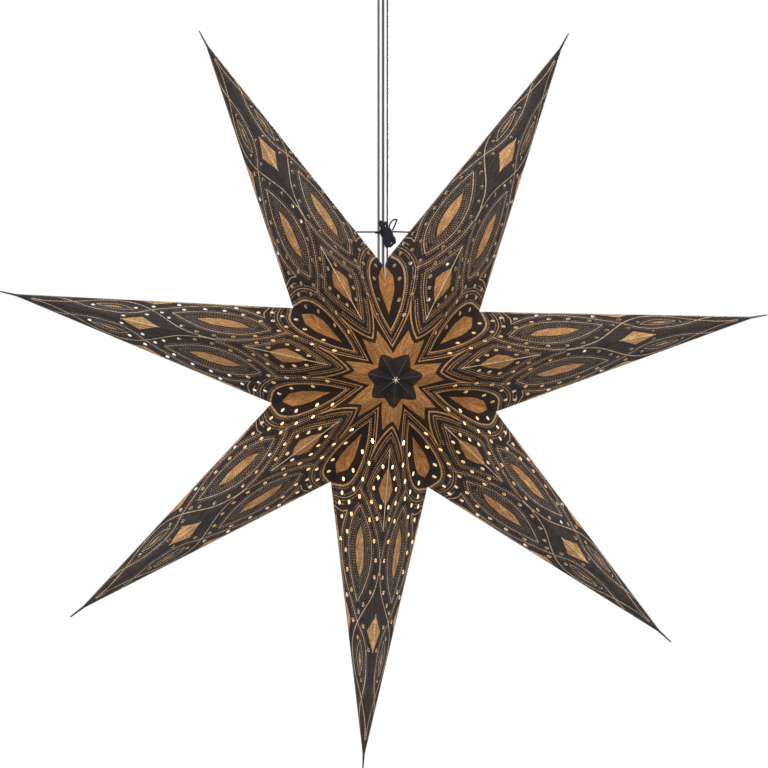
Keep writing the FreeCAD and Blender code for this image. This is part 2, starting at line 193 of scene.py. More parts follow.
# The middle of a row of dashes inside the almond frame
ALMOND_BEADS = [[(98.5, 26.4), (105.0, 30.4), (113.0, 32.2), (121.0, 31.9), (132.0, 28.4),
                 (143.5, 22.4)],
                [(98.5, 26.4), (104.5, 20.2), (112.5, 15.9), (121.0, 14.9), (132.0, 17.6),
                 (143.5, 22.4)]]

# Ochre fields and the black star round the middle. They run past the ridge, where they are cut off.
PAST_RIDGE = -1.0
APEX_FIELD = [(17.4, -1.0), (25.8, -1.0), (30.0, 4.6), (35.2, 9.8), (24.0, 12.4), (14.0, 13.1),
              (12.8, 11.8), (15.1, 8.2), (16.5, 4.3)]
INNER_LOZENGE = [(56.5, -1.0), (56.5, 0.0), (64.5, 5.0), (73.4, 8.8), (78.3, 5.2), (82.0, 0.0),
                 (82.0, -1.0)]
OUTER_LOZENGE = [(154.8, -1.0), (154.8, 0.0), (161.5, 3.9), (168.2, 8.2), (174.0, 4.2),
                 (179.6, 0.0), (179.6, -1.0)]
ALMOND = [[(102.8, 24.4), (109.5, 27.6), (118.5, 28.2), (128.0, 26.0), (136.4, 21.5)],
          [(136.4, 21.5), (128.6, 18.6), (119.5, 18.8), (110.0, 20.9), (102.8, 24.4)]]
SMALL_ALMOND = [[(183.0, 14.4), (189.0, 14.5), (196.0, 12.0)],
                [(196.0, 12.0), (189.5, 12.5), (183.0, 14.4)]]
PETAL = [(40.0, 30.5), (50.0, 33.9), (57.3, 36.0), (62.5, 38.1), (67.2, 41.2), (71.9, 45.0),
         (73.9, 48.8), (75.9, 52.8), (77.9, 57.0), (60.0, 58.0)]
FOLD_PATCH = [(150.0, 42.0), (156.0, 34.6), (161.6, 30.6), (166.8, 27.2), (171.6, 27.8),
              (177.6, 28.2), (184.0, 30.0)]
FOLD_SLIVER = [(101.0, 60.0), (105.0, 53.0), (111.0, 49.8), (118.0, 47.6), (126.0, 45.2),
               (134.0, 43.6), (136.0, 50.0)]
APEX_STAR = [(-1.0, -1.0), (18.4, -1.0), (18.2, 2.0), (17.6, 4.5), (16.5, 6.8), (15.2, 8.9),
             (14.1, 11.2), (12.3, 12.3), (-1.0, 1.0)]

# Bands along the ridge, from where to where, and how far they reach to each side of it
# The pale band along the ridge is partly worn print and partly a painted highlight where the fold
# catches light
WORN_GLINTING_RIDGE = [(-1.0, 2.7), (43.5, 98.6), (154.0, 180.5)]
WORN_GLINTING_RIDGE_HALF_WIDTH = 0.36
# The grey band over the black star's ridges is partly worn print and partly a painted highlight
RIDGE_GREY = [(2.6, 17.4)]
RIDGE_GREY_HALF_WIDTH = 0.26
RIDGE_GOLD = [(116.5, 129.0)]
RIDGE_GOLD_HALF_WIDTH = 0.85

# The lines with a row of dashes on each side, and rows of dashes with two more rows beside them
DASHED = (POINTED_FRAME, SECOND_LOOP, ALMOND_FRAME, OGEE_NEAR[:1], OGEE_FAR[1:], SMALL_FRAME)
DASHES_ALONE = (ALMOND_BEADS,)
# The lines with a row on one side, and which side of the way that they run
DASHED_BESIDE = ((SECOND_CHEVRON[0], -1.0), (LOOP[0], 1.0))

# Punched holes, in rows: the number of holes, then the start, the bend and the end of the row
HOLE_RADIUS = 1.5
HOLE_SIDES = 12
PUNCHED_ROWS = (
    (3, (55.3, 29.6), (73.3, 37.1), (78.9, 47.9)),
    (5, (45.3, 19.5), (78.4, 19.3), (88.2, 48.3)),
    (3, (84.6, 28.6), (93.4, 39.8), (95.3, 50.2)),
    (6, (98.6, 35.9), (130.4, 47.6), (158.9, 19.3)),
    (6, (96.1, 15.6), (126.5, -5.7), (152.6, 14.9)),
    (3, (58.0, 6.0), (66.5, 10.2), (74.5, 13.9)),
    (2, (84.2, 4.9), (84.2, 10.0), (84.0, 15.0)),
    (2, (103.3, 46.1), (110.5, 46.6), (118.0, 45.6)),
    (2, (152.2, 33.4), (159.0, 29.0), (166.2, 24.3)),
    (2, (166.6, 12.7), (171.0, 15.4), (175.9, 17.8)),
    (2, (92.8, 7.6), (136.0, -1.0), (179.8, 4.8)),
    (1, (202.0, 10.0), (202.0, 10.0), (202.0, 10.0)),
)

# The kinds of surface, in the order of the materials. Where shapes overlap, the later kind shows.
CARD_KIND, OCHRE_KIND, STAR_KIND, DASH_KIND, GOLD_KIND, GREY_KIND, WORN_GLINT_KIND = range(7)
INNER_KIND, EDGE_KIND, HOLE_KIND = 7, 8, 9

# Cutting: triangles inside the outline alone, and how near two points are one
CUT_INSIDE = 1
CUT_MERGING = 1e-4
SAME_SHARE = 1e-9            # a point this near a crease counts to the first triangle
NEARLY_FLAT = 0.02           # facets that turn less than this share one move inwards

# The corners round a flat half face, and its triangles between the creases
FACE_OUTLINE = ("apex", "ridge", "ridge_tip", "tip", "fold", "notch", "bend_1", "bend_0")
FACE_TRIANGLES = (("apex", "bend_0", "ridge"), ("bend_0", "bend_1", "ridge"),
                  ("bend_1", "notch", "ridge"), ("notch", "fold", "ridge"),
                  ("ridge", "fold", "tip"), ("ridge", "tip", "ridge_tip"))

# Printed card in the order of its kinds: the name, the colour near the middle of the star and far
# from it, the roughness, and the spread of the noise
PAPERS = (
    ("black_card", (0.024, 0.015, 0.012), (0.052, 0.040, 0.037), 0.6, 0.34),
    ("ochre_print", (0.40, 0.185, 0.062), (0.64, 0.355, 0.145), 0.5, 0.36),
    ("apex_black", (0.025, 0.021, 0.021), (0.025, 0.021, 0.021), 0.45, 0.25),
    ("fine_dashes", (0.46, 0.27, 0.14), (0.20, 0.155, 0.125), 0.5, 0.40),
    ("gold_line", (0.54, 0.28, 0.11), (0.62, 0.44, 0.295), 0.45, 0.28),
    # Grey on the black star's ridges: partly worn print, partly a painted highlight
    ("worn_black_and_painted_highlight", (0.085, 0.085, 0.09), (0.085, 0.085, 0.09), 0.5, 0.40),
    # Pale band along the ridge: partly worn print, partly a painted highlight
    ("worn_fold_and_painted_highlight", (0.86, 0.68, 0.44), (0.90, 0.70, 0.44), 0.45, 0.12),
    ("inner_card", (0.78, 0.71, 0.61), (0.78, 0.71, 0.61), 0.8, 0.06),
    ("cut_edge", (0.62, 0.54, 0.46), (0.62, 0.54, 0.46), 0.8, 0.16),
)
PAPER_SPECULAR = 0.3

# Fine relief: the noise's scale and detail, and the relief's strength and depth
PAPER_GRAIN = (2600.0, 3.0, 0.25, 0.0001)
PLASTIC_GRAIN = (900.0, 2.0, 0.06, 0.0001)
FLEX_GRAIN = (500.0, 2.0, 0.05, 0.0001)
STRING_GRAIN = (1800.0, 3.0, 0.5, 0.0002)

# Sockets of a colour mix: its factor, its two colours and its result
MIX_FACTOR, MIX_FIRST, MIX_SECOND, MIX_RESULT = 0, 6, 7, 2

# Other colours, each from the darkest to the lightest of its noise
STRING_BLACKS = (0.006, 0.005, 0.008), (0.026, 0.023, 0.032)
CEILING_WHITES = (0.74, 0.74, 0.72), (0.80, 0.80, 0.78)
HOLDER_WHITES = (0.76, 0.75, 0.72), (0.82, 0.81, 0.78)
LAMP_GLOWS = (1.0, 0.72, 0.45), (1.0, 0.78, 0.51)
BULB_GLASS = (0.85, 0.82, 0.76, 1.0)
BULB_STRENGTH = 13.5

# Studio: square lights that look at the middle of the star, with the power of each in watts
LIGHT_SIZE = 0.9
LIGHTS = (("key", (-0.25, -2.3, 0.25), 46.0), ("fill", (0.9, -2.0, -0.5), 8.0),
          ("back", (0.5, 2.3, 0.25), 40.0))
# The world: what lights the star, and what the camera sees behind it
ROOM_GREY = (0.30, 0.30, 0.30, 1.0)
BACKDROP_WHITE = (1.0, 1.0, 1.0, 1.0)
SAMPLES = 192

# Camera
LENS = 147.2
CAMERA_OFFSET = (-0.1752, -1.9923, 0.0178)
VIEW_DIRECTION = (0.0872, 0.9961, -0.0105)
CLIP_END = 20.0


def new_material(name):
    """A new material, its nodes, its links and its shader."""
    material = bpy.data.materials.new(name)
    material.use_nodes = True
    nodes = material.node_tree.nodes
    return material, nodes, material.node_tree.links, nodes["Principled BSDF"]


def ramp_between(nodes, links, factor, low, high, start=0.3, end=0.7):
    """A colour ramp from low to high, driven by a factor socket."""
    ramp = nodes.new("ShaderNodeValToRGB")
    ramp.color_ramp.elements[0].position = start
    ramp.color_ramp.elements[0].color = (*low, 1.0)
    ramp.color_ramp.elements[1].position = end
    ramp.color_ramp.elements[1].color = (*high, 1.0)
    links.new(factor, ramp.inputs["Fac"])
    return ramp.outputs["Color"]


def object_noise(nodes, links, scale, detail):
    """Noise in the object's own space, so that it stays at its real scale."""
    place = nodes.new("ShaderNodeTexCoord")
    noise = nodes.new("ShaderNodeTexNoise")
    noise.inputs["Scale"].default_value = scale
    noise.inputs["Detail"].default_value = detail
    links.new(place.outputs["Object"], noise.inputs["Vector"])
    return noise.outputs["Fac"]


def add_relief(nodes, links, shader, grain):
    """Fine relief on a surface, from one of the grains. Returns its noise."""
    scale, detail, strength, depth = grain
    height = object_noise(nodes, links, scale, detail)
    bump = nodes.new("ShaderNodeBump")
    bump.inputs["Strength"].default_value = strength
    bump.inputs["Distance"].default_value = depth
    links.new(height, bump.inputs["Height"])
    links.new(bump.outputs["Normal"], shader.inputs["Normal"])
    return height


def paper_material(name, near, far, roughness, spread):
    """Printed card. Its colour pales from near to far along an arm, with fine streaks and specks."""
    material, nodes, links, shader = new_material(name)
    flat = nodes.new("ShaderNodeAttribute")
    flat.attribute_name = "flat"
    split = nodes.new("ShaderNodeSeparateXYZ")
    paling = nodes.new("ShaderNodeMapRange")
    paling.inputs["From Min"].default_value = PALING[0] * FLAT_LENGTH
    paling.inputs["From Max"].default_value = PALING[1] * FLAT_LENGTH
    links.new(flat.outputs["Vector"], split.inputs["Vector"])
    links.new(split.outputs["X"], paling.inputs["Value"])
    pale = nodes.new("ShaderNodeMix")
    pale.data_type = "RGBA"
    pale.inputs[MIX_FIRST].default_value = (*near, 1.0)
    pale.inputs[MIX_SECOND].default_value = (*far, 1.0)
    links.new(paling.outputs["Result"], pale.inputs[MIX_FACTOR])
    colour = pale.outputs[MIX_RESULT]
    for stretch, share in ((STREAKS, spread), (SPECKS, spread * SPECK_SHARE)):
        mapping = nodes.new("ShaderNodeMapping")
        mapping.inputs["Scale"].default_value = stretch
        noise = nodes.new("ShaderNodeTexNoise")
        noise.inputs["Scale"].default_value = 1.0
        noise.inputs["Detail"].default_value = 2.0
        links.new(flat.outputs["Vector"], mapping.inputs["Vector"])
        links.new(mapping.outputs["Vector"], noise.inputs["Vector"])
        change = ramp_between(nodes, links, noise.outputs["Fac"], (1.0 - share,) * 3,
                              (1.0 + share,) * 3, *NOISE_RANGE)
        product = nodes.new("ShaderNodeMix")
        product.data_type = "RGBA"
        product.blend_type = "MULTIPLY"
        product.inputs[MIX_FACTOR].default_value = 1.0
        links.new(colour, product.inputs[MIX_FIRST])
        links.new(change, product.inputs[MIX_SECOND])
        colour = product.outputs[MIX_RESULT]
    links.new(colour, shader.inputs["Base Color"])
    shader.inputs["Roughness"].default_value = roughness
    shader.inputs["Specular IOR Level"].default_value = PAPER_SPECULAR
    add_relief(nodes, links, shader, PAPER_GRAIN)
    return material


def plastic_material(name, low, high, roughness):
    """Moulded plastic with a faint cloud in its white."""
    material, nodes, links, shader = new_material(name)
    cloud = object_noise(nodes, links, 90.0, 3.0)
    links.new(ramp_between(nodes, links, cloud, low, high), shader.inputs["Base Color"])
    shader.inputs["Roughness"].default_value = roughness
    add_relief(nodes, links, shader, PLASTIC_GRAIN)
    return material


def flex_material():
    """Two white cores, with shade painted grey at their edges and in their groove."""
    material, nodes, links, shader = new_material("flex_plastic")
    place = nodes.new("ShaderNodeTexCoord")
    split = nodes.new("ShaderNodeSeparateXYZ")
    middle = nodes.new("ShaderNodeMath")
    middle.operation = "SUBTRACT"
    middle.inputs[1].default_value = FLEX_OFFSET
    aside = nodes.new("ShaderNodeMath")
    aside.operation = "ABSOLUTE"
    share = nodes.new("ShaderNodeMath")
    share.operation = "DIVIDE"
    share.inputs[1].default_value = CORE_RADIUS + CORE_HALF_SPACING
    ramp = nodes.new("ShaderNodeValToRGB")
    stops = ramp.color_ramp.elements
    for _ in range(len(FLEX_SHADE_GREYS) - 2):
        stops.new(0.5)
    for stop, (position, grey) in zip(stops, FLEX_SHADE_GREYS):
        stop.position = position
        stop.color = (grey, grey, grey, 1.0)
    links.new(place.outputs["Object"], split.inputs["Vector"])
    links.new(split.outputs["X"], middle.inputs[0])
    links.new(middle.outputs["Value"], aside.inputs[0])
    links.new(aside.outputs["Value"], share.inputs[0])
    links.new(share.outputs["Value"], ramp.inputs["Fac"])
    # The ramp paints the flex's shade by place across it, dark in the groove and at the edges
    links.new(ramp.outputs["Color"], shader.inputs["Base Color"])
    shader.inputs["Roughness"].default_value = 0.3
    add_relief(nodes, links, shader, FLEX_GRAIN)
    return material


def string_material():
    """Black twisted cotton."""
    material, nodes, links, shader = new_material("black_string")
    fibre = add_relief(nodes, links, shader, STRING_GRAIN)
    links.new(ramp_between(nodes, links, fibre, *STRING_BLACKS), shader.inputs["Base Color"])
    shader.inputs["Roughness"].default_value = 0.8
    shader.inputs["Specular IOR Level"].default_value = 0.25
    return material


def bulb_material():
    """Frosted glass with the warm light of the lamp behind it."""
    material, nodes, links, shader = new_material("frosted_bulb")
    frost = object_noise(nodes, links, 500.0, 2.0)
    warm = ramp_between(nodes, links, frost, *LAMP_GLOWS)
    links.new(warm, shader.inputs["Emission Color"])
    shader.inputs["Base Color"].default_value = BULB_GLASS
    shader.inputs["Emission Strength"].default_value = BULB_STRENGTH
    shader.inputs["Roughness"].default_value = 0.45
    return material


def place_camera():
    """The camera of the photograph's view, from a place that is given from the star's middle."""
    data = bpy.data.cameras.new("camera")
    data.sensor_width = 36.0
    data.lens = LENS
    camera = bpy.data.objects.new("camera", data)
    camera.location = Vector((0.0, 0.0, -STAR_DROP)) + Vector(CAMERA_OFFSET)
    camera.rotation_mode = "QUATERNION"
    camera.rotation_quaternion = Vector(VIEW_DIRECTION).to_track_quat("-Z", "Y")
    data.clip_end = CLIP_END
    bpy.context.collection.objects.link(camera)
    bpy.context.scene.camera = camera


def mesh_object(name, verts, faces, materials, kinds=None, smooth=False, flat=None):
    """A piece of the star. Kinds give each face's material, and flat each point's place in the print."""
    mesh = bpy.data.meshes.new(name)
    mesh.from_pydata([tuple(v) for v in verts], [], [tuple(f) for f in faces])
    for material in materials:
        mesh.materials.append(material)
    if kinds is not None:
        mesh.polygons.foreach_set("material_index", np.asarray(kinds, dtype=np.int32))
    if smooth:
        mesh.polygons.foreach_set("use_smooth", np.ones(len(mesh.polygons), dtype=bool))
    if flat is not None:
        places = mesh.attributes.new("flat", "FLOAT_VECTOR", "POINT")
        places.data.foreach_set("vector", np.asarray(flat, dtype=np.float32).ravel())
    mesh.update()
    piece = bpy.data.objects.new(name, mesh)
    bpy.context.collection.objects.link(piece)
    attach(piece, "root")
    return piece


def nurbs_line(name, points):
    """The points that a NURBS route passes, as a curve with no thickness gives them."""
    data = bpy.data.curves.new(name, "CURVE")
    data.dimensions = "3D"
    data.resolution_u = ROUTE_RESOLUTION
    spline = data.splines.new("NURBS")
    spline.points.add(len(points) - 1)
    for place, point in zip(spline.points, points):
        place.co = (*point, 1.0)
    spline.order_u = ROUTE_ORDER
    spline.use_endpoint_u = True
    carrier = bpy.data.objects.new(name, data)
    mesh = bpy.data.meshes.new_from_object(carrier)
    line = [v.co.copy() for v in mesh.vertices]
    bpy.data.meshes.remove(mesh)
    bpy.data.objects.remove(carrier)
    bpy.data.curves.remove(data)
    return line


def sweep(line, profile, side_axis):
    """A closed tube of the profile's (side, front) points along a line of points."""
    verts = []
    faces = []
    count = len(profile)
    for k, point in enumerate(line):
        ahead = line[min(k + 1, len(line) - 1)]
        behind = line[max(k - 1, 0)]
        along = (ahead - behind).normalized()
        across = (side_axis - along * side_axis.dot(along)).normalized()
        outward = along.cross(across)
        for a, b in profile:
            verts.append(point + across * a + outward * b)
    for k in range(len(line) - 1):
        for j in range(count):
            i = (j + 1) % count
            faces.append((k * count + j, k * count + i, (k + 1) * count + i, (k + 1) * count + j))
    faces.append(tuple(reversed(range(count))))
    faces.append(tuple(range((len(line) - 1) * count, len(line) * count)))
    return verts, faces


def ring_profile(radius, count):
    """Evenly spaced points on a circle."""
    turn = 2.0 * math.pi / count
    return [(radius * math.cos(k * turn), radius * math.sin(k * turn)) for k in range(count)]


def twin_core_profile(steps=14):
    """The outline of two round cores that are moulded side by side."""
    half = math.acos(CORE_HALF_SPACING / CORE_RADIUS)
    points = []
    for side, start in ((1, -math.pi + half), (-1, half)):
        for k in range(steps + 1):
            angle = start + (2.0 * math.pi - 2.0 * half) * k / steps
            x = side * CORE_HALF_SPACING + CORE_RADIUS * math.cos(angle)
            points.append((x, CORE_RADIUS * math.sin(angle)))
    return points


def make_flex():
    """The white twin flex that the star hangs on, straight from the holder to the cord grip."""
    line = nurbs_line("flex_route", FLEX_ROUTE)
    verts, faces = sweep(line, twin_core_profile(), Vector((1.0, 0.0, 0.0)))
    flex = mesh_object("flex", verts, faces, [flex_material()], smooth=True)
    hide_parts("lamp_flex")


def smooth_run(points, steps=5):
    """Points of the smooth curve that passes through the given points."""
    ends = [np.array(p, dtype=float) for p in points]
    ends = [2.0 * ends[0] - ends[1]] + ends + [2.0 * ends[-1] - ends[-2]]
    run = []
    for a, b, c, d in zip(ends, ends[1:], ends[2:], ends[3:]):
        for k in range(steps):
            t = k / steps
            run.append(0.5 * (2.0 * b + (c - a) * t + (2.0 * a - 5.0 * b + 4.0 * c - d) * t * t
                              + (3.0 * b - a - 3.0 * c + d) * t ** 3))
    run.append(ends[-2])
    return np.array(run)


def run_normals(run):
    """The direction across a run at each of its points."""
    ahead = np.gradient(run, axis=0)
    ahead /= np.linalg.norm(ahead, axis=1)[:, None]
    return np.stack([-ahead[:, 1], ahead[:, 0]], axis=1)


def strip(run, width):
    """The outline of a line of one width along a run."""
    side = run_normals(run) * width / 2.0
    return np.concatenate([run + side, (run - side)[::-1]])


def spaced(run, pitch):
    """Evenly spaced points on a run, each with the direction across it."""
    steps = np.linalg.norm(np.diff(run, axis=0), axis=1)
    reach = np.concatenate([[0.0], np.cumsum(steps)])
    places = np.arange(pitch / 2.0, reach[-1], pitch)
    across = run_normals(run)
    pick = [np.interp(places, reach, column) for column in (*run.T, *across.T)]
    return np.stack(pick[:2], axis=1), np.stack(pick[2:], axis=1)


def inside(polygon, points):
    """Which of the points lie inside a polygon."""
    x, y = points[:, 0], points[:, 1]
    crossed = np.zeros(len(points), dtype=bool)
    for (x0, y0), (x1, y1) in zip(polygon, np.roll(polygon, -1, axis=0)):
        span = (y0 > y) != (y1 > y)
        slope = (x1 - x0) / (y1 - y0 if y1 != y0 else 1.0)
        crossed ^= span & (x < x0 + (y - y0) * slope)
    return crossed


def hole_places():
    """Centres of the punched holes, evenly stepped on the curve of each row."""
    places = []
    for count, start, bend, end in PUNCHED_ROWS:
        start, bend, end = (np.array(p) for p in (start, bend, end))
        for k in range(count):
            t = k / max(count - 1, 1)
            places.append(start * (1.0 - t) ** 2 + bend * (2.0 * t * (1.0 - t)) + end * t ** 2)
    return places


def dash_rows(lines, avoid, fields):
    """Short dashes across the rows, left out where they would touch a line, a hole or a field."""
    dashes = []
    for run in lines:
        centres, across = spaced(run, DASH_PITCH)
        along = np.stack([across[:, 1], -across[:, 0]], axis=1)
        gap = np.linalg.norm(centres[:, None, :] - avoid[None, :, :2], axis=2) - avoid[None, :, 2]
        clear = (gap.min(axis=1) > 0.0) & (centres[:, 0] < DASHES_END)
        for field in fields:
            clear &= ~inside(field, centres)
        taken = np.column_stack([centres[clear], np.full(clear.sum(), DASH_LENGTH)])
        avoid = np.concatenate([avoid, taken])
        for c, n, a in zip(centres[clear], across[clear], along[clear]):
            n, a = n * DASH_LENGTH / 2.0, a * DASH_WIDTH / 2.0
            dashes.append(np.array([c - n - a, c - n + a, c + n + a, c + n - a]))
    return dashes


def print_layout():
    """The shapes of the print on one flat half face, as pairs of kind and polygon."""
    fields = [np.array(f) for f in (APEX_FIELD, INNER_LOZENGE, OUTER_LOZENGE, FOLD_PATCH,
                                    FOLD_SLIVER, PETAL)]
    for pair in (ALMOND, SMALL_ALMOND):
        fields.append(np.concatenate([smooth_run(side)[:-1] for side in pair]))
    shapes = [(STAR_KIND, np.array(APEX_STAR))]
    shapes += [(OCHRE_KIND, field) for field in fields]
    wide = [smooth_run(s) for s in LOOP]
    bold = [smooth_run(s) for group in (CHEVRON, FOLD_WEAR) for s in group]
    plain = [smooth_run(s) for group in (OGEE_NEAR, OGEE_FAR, ALMOND_FRAME) for s in group]
    thin = [smooth_run(s) for group in (SECOND_LOOP, THIRD_LOOP, POINTED_FRAME, SMALL_FRAME,
                                        SECOND_CHEVRON, FOLD_LINE) for s in group]
    for runs, width in ((wide, LOOP_WIDTH), (bold, BOLD_WIDTH), (plain, LINE_WIDTH),
                        (thin, THIN_WIDTH)):
        shapes += [(GOLD_KIND, strip(run, width)) for run in runs]
    for bands, kind, half in ((WORN_GLINTING_RIDGE, WORN_GLINT_KIND, WORN_GLINTING_RIDGE_HALF_WIDTH),
                              (RIDGE_GREY, GREY_KIND, RIDGE_GREY_HALF_WIDTH),
                              (RIDGE_GOLD, GOLD_KIND, RIDGE_GOLD_HALF_WIDTH)):
        for start, end in bands:
            band = [(start, PAST_RIDGE), (end, PAST_RIDGE), (end - half, half),
                    (start + half, half)]
            shapes.append((kind, np.array(band)))
    near_line = LINE_WIDTH / 2.0 + DASH_LENGTH / 2.0
    avoid = [np.column_stack([run, np.full(len(run), near_line)])
             for run in wide + bold + plain + thin]
    avoid.append(np.array([(x, y, HOLE_RADIUS + DASH_HOLE_GAP) for x, y in hole_places()]))
    avoid = np.concatenate(avoid)
    rows = [smooth_run(s) for group in DASHES_ALONE for s in group]
    for line, side in DASHED_BESIDE:
        run = smooth_run(line)
        rows.append(run + run_normals(run) * side * DASH_STEP)
    for run in [smooth_run(s) for group in (*DASHED, *DASHES_ALONE) for s in group]:
        side = run_normals(run) * DASH_STEP
        rows += [run + side, run - side]
    shapes += [(DASH_KIND, dash) for dash in dash_rows(rows, avoid, fields)]
    return shapes


def hole_shapes():
    """The outline of each punched hole."""
    ring = np.array(ring_profile(HOLE_RADIUS, HOLE_SIDES))
    return [place + ring for place in hole_places()]


def flat_corners():
    """Named corners of the flat half face."""
    notch = np.array(FLAT_NOTCH)
    return {"apex": np.zeros(2), "bend_0": notch * SEAM_SHARES[0], "bend_1": notch * SEAM_SHARES[1],
            "notch": notch, "fold": np.array(FLAT_FOLD_END),
            "tip": np.array([FLAT_LENGTH, FLAT_TAIL_END]), "ridge_tip": np.array([FLAT_LENGTH, 0.0]),
            "ridge": np.array([FLAT_RIDGE_END, 0.0])}


def cut_flat(shapes):
    """Triangles of the flat half face, each with its kind. Holes are left open."""
    flat = flat_corners()
    verts = [flat[name] for name in FACE_OUTLINE]
    place = {name: k for k, name in enumerate(FACE_OUTLINE)}
    edges = [(place[name], place["ridge"]) for name in ("bend_0", "bend_1", "notch", "fold", "tip")]
    polygons = [list(range(len(verts)))]
    kinds = [CARD_KIND]
    for kind, shape in shapes:
        x, y = shape.T
        if np.sum(x * np.roll(y, -1) - y * np.roll(x, -1)) < 0.0:
            shape = shape[::-1]
        polygons.append(list(range(len(verts), len(verts) + len(shape))))
        verts.extend(shape)
        kinds.append(kind)
    points = [Vector((float(x), float(y))) for x, y in verts]
    made, _, faces, _, _, sources = delaunay_2d_cdt(points, edges, polygons, CUT_INSIDE,
                                                    CUT_MERGING)
    keep = []
    keep_kinds = []
    for face, source in zip(faces, sources):
        if 0 in source:
            kind = max(kinds[k] for k in source)
            if kind != HOLE_KIND:
                keep.append(face)
                keep_kinds.append(kind)
    used, numbers = np.unique(np.array(keep), return_inverse=True)
    points = np.array([(p.x, p.y) for p in made])[used]
    return points, numbers.reshape(-1, 3), np.array(keep_kinds)


def face_weights(points):
    """For flat points: the share of every face corner, by the triangle that holds the point."""
    flat = flat_corners()
    order = {name: k for k, name in enumerate(FACE_OUTLINE)}
    best = np.full(len(points), -math.inf)
    weights = np.zeros((len(points), len(FACE_OUTLINE)))
    for names in FACE_TRIANGLES:
        a, b, c = (flat[name] for name in names)
        to_share = np.linalg.inv(np.column_stack([b - a, c - a]))
        second, third = to_share @ (points - a).T
        shares = np.stack([1.0 - second - third, second, third], axis=1)
        better = shares.min(axis=1) > best + SAME_SHARE
        best[better] = shares.min(axis=1)[better]
        weights[better] = 0.0
        for k, name in enumerate(names):
            weights[better, order[name]] = shares[better, k]
    return weights


def star_point(reach, angle, depth, aside=0.0):
    """A point from the star's middle, at an angle in its plane, with its depth and its step aside."""
    a = math.radians(angle)
    return np.array([reach * math.cos(a) - aside * math.sin(a), depth,
                     reach * math.sin(a) + aside * math.cos(a) - STAR_DROP])


def arm_directions():
    """The angle of each arm, clockwise from the seam."""
    directions = []
    edge = SEAM_DIRECTION - (360.0 - sum(ARM_SPREADS)) / 2.0
    for spread in ARM_SPREADS:
        directions.append(edge - spread / 2.0)
        edge -= spread
    return directions


def valley_points(angle, seam_side):
    """Front points of a valley after the apex. Seam side is 0 away from the seam."""
    apex = star_point(0.0, angle, -APEX_DEPTH)
    if seam_side == 0:
        notch = star_point(NOTCH_REACH, angle, 0.0)
        return [apex + (notch - apex) * share for share in (*SEAM_SHARES, 1.0)]
    end = SEAM_REACHES[-1]
    return [star_point(reach, SEAM_DIRECTION, -APEX_DEPTH * (1.0 - reach / end), seam_side * gap)
            for reach, gap in zip(SEAM_REACHES, SEAM_HALF_GAPS)]


def arm_corners(index):
    """Named corners of one arm's outer face, and the matching corners of its card's inner face."""
    direction = arm_directions()[index]
    half_spread = ARM_SPREADS[index] / 2.0
    tail = TIP_REACH - TAIL_LENGTH
    ridge_depth = -APEX_DEPTH * TAIL_LENGTH / TIP_REACH
    last = len(ARM_SPREADS) - 1
    sides = (("left", direction + half_spread, -1 if index == 0 else 0, 1),
             ("right", direction - half_spread, 1 if index == last else 0, -1))
    corners = {}
    facets = []
    for half, mirror in (("front", 1.0), ("back", -1.0)):
        turned = np.array([1.0, mirror, 1.0])
        shared = {"apex": star_point(0.0, direction, -APEX_DEPTH),
                  "ridge": star_point(tail, direction, ridge_depth),
                  "ridge_tip": star_point(TIP_REACH, direction, -TAIL_END_HALF_DEPTH)}
        for name, point in shared.items():
            corners[half, "", name] = point * turned
        for side, angle, seam_side, sign in sides:
            bends = valley_points(angle, seam_side)
            named = dict(zip(("bend_0", "bend_1", "notch"), bends))
            named["fold"] = star_point(tail, direction, 0.0, sign * TAIL_HALF_WIDTH)
            named["tip"] = star_point(TIP_REACH, direction, 0.0, sign * TAIL_TIP_HALF_WIDTH)
            for name, point in named.items():
                both = name in ("notch", "fold", "tip")
                corners["" if both else half, side, name] = point * turned
            for names in FACE_TRIANGLES:
                facets.append([corner_key(half, side, name) for name in names])
    middle = star_point(0.0, direction, 0.0)
    along = star_point(1.0, direction, 0.0) - middle
    normals = {key: [] for key in corners}
    for facet in facets:
        a, b, c = (corners[key] for key in facet)
        normal = np.cross(b - a, c - a)
        normal /= np.linalg.norm(normal)
        centre = (a + b + c) / 3.0
        foot = middle + along * np.dot(centre - middle, along)
        if np.dot(normal, centre - foot) < 0.0:
            normal = -normal
        for key in facet:
            normals[key].append(normal)
    inner = {}
    for key, point in corners.items():
        rows = np.array(normals[key])
        move = np.linalg.lstsq(rows, np.full(len(rows), -CARD), rcond=NEARLY_FLAT)[0]
        inner[key] = point + move
    return corners, inner


def corner_key(half, side, name):
    """The name of a corner in an arm, where ridge and side corners belong to two half faces."""
    if name in ("apex", "ridge", "ridge_tip"):
        return half, "", name
    if name in ("notch", "fold", "tip"):
        return "", side, name
    return half, side, name


class MeshParts:
    """Vertices, faces and material numbers that are gathered for one piece."""

    def __init__(self):
        self.verts = []
        self.faces = []
        self.kinds = []
        self.flat = []

    def add(self, verts, faces, kinds, flip=False, flat=None):
        start = len(self.verts)
        self.verts.extend(verts)
        self.flat.extend(np.zeros((len(verts), 3)) if flat is None else flat)
        for face in faces:
            numbers = [start + int(k) for k in face]
            self.faces.append(numbers[::-1] if flip else numbers)
        self.kinds.extend(kinds)


def add_plate(parts, outer, inner, kind):
    """A flat bit of card from the corners of its two faces, in the same order."""
    count = len(outer)
    faces = [list(range(count)), list(range(2 * count - 1, count - 1, -1))]
    faces += [[k, count + k, count + (k + 1) % count, (k + 1) % count] for k in range(count)]
    parts.add([*outer, *inner], faces, [kind] * len(faces))


